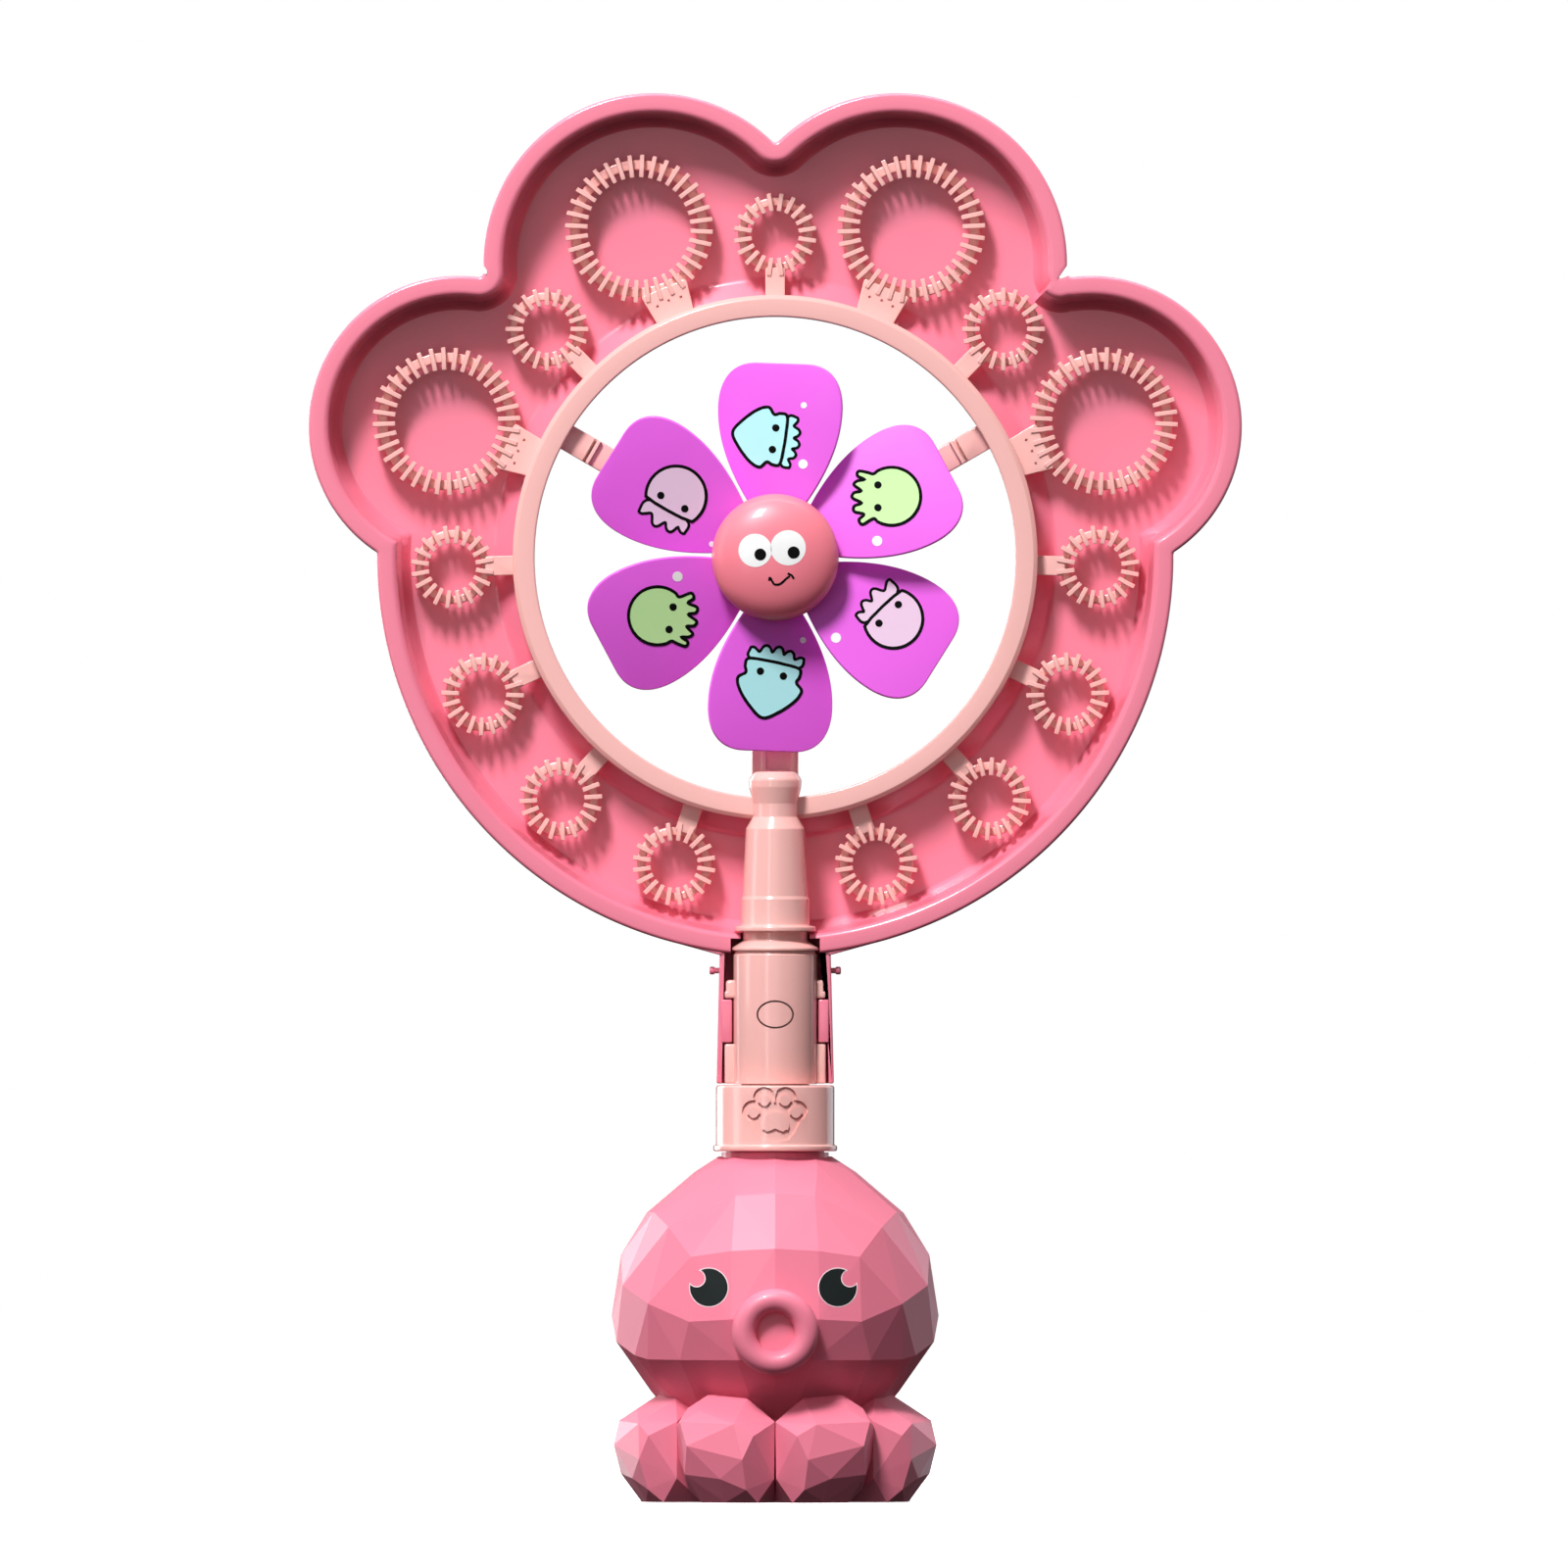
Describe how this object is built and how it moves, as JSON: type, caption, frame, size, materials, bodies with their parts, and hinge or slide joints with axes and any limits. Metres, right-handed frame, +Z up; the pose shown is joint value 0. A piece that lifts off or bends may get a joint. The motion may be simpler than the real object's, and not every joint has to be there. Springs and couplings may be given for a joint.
{
  "type": "bubble machine",
  "caption": "Hand-held bubble wand: bubble loops round a windmill, a paw-shaped dipping tray behind it, and an octopus-shaped solution bottle that screws onto the handle.",
  "frame": {"origin": "centre of the bottle's flat base, on the axis of the handle", "axes": "+Z up the handle; the front of the wand faces -Y; +X to the right seen from the front"},
  "size_m": [0.238, 0.0832, 0.3592],
  "materials": {
    "bottle_pink": "satin moulded plastic, faceted",
    "tray_pink": "satin moulded plastic",
    "wand_peach": "satin moulded plastic",
    "petal_magenta": "satin moulded plastic, printed",
    "hub_coral": "glossy moulded plastic, printed",
    "liner_foam": "closed-cell foam",
    "steel": "zinc plated"
  },
  "bodies": {
    "bottle": {"bottle_body": "bottle_pink", "mouth_ring": "bottle_pink"},
    "liner": {"cap_liner": "liner_foam"},
    "wand": {"collar_cap": "wand_peach", "handle_front_shell": "wand_peach", "handle_rear_shell": "wand_peach", "bubble_ring": "wand_peach", "fan_bracket": "wand_peach", "axle_pin": "steel", "axle_washer": "steel", "retaining_clip": "steel", "neck_screw": "steel", "handle_screw": "steel", "button_spring": "steel"},
    "windmill": {"hub_base": "petal_magenta", "petal_1": "petal_magenta", "petal_2": "petal_magenta", "petal_3": "petal_magenta", "petal_4": "petal_magenta", "petal_5": "petal_magenta", "petal_6": "petal_magenta", "hub_cap": "hub_coral"},
    "tray": {"tray": "tray_pink"},
    "button": {"release_button": "wand_peach"}
  },
  "joints": [
    {"name": "cap_lift", "type": "slide", "parent": "bottle", "child": "liner", "axis": [0, 0, 1], "range_m": [0, 0.0064]},
    {"name": "cap_turn", "type": "hinge", "parent": "liner", "child": "wand", "pos_m": [0, 0, 0.097], "axis": [0, 0, 1], "range_deg": [0, 720]},
    {"name": "windmill_spin", "type": "hinge", "parent": "wand", "child": "windmill", "pos_m": [0, 0, 0.2408], "axis": [0, 1, 0], "continuous": true},
    {"name": "tray_slide", "type": "slide", "parent": "wand", "child": "tray", "axis": [0, 1, 0], "range_m": [0, 0.045]},
    {"name": "button_press", "type": "slide", "parent": "wand", "child": "button", "axis": [0, 1, 0], "range_m": [0, 0.0015], "deforming": ["button_spring"]}
  ],
  "couplings": [
    {"joint": "cap_lift", "follows": "cap_turn", "m_per_rad": 0.00050531}
  ]
}
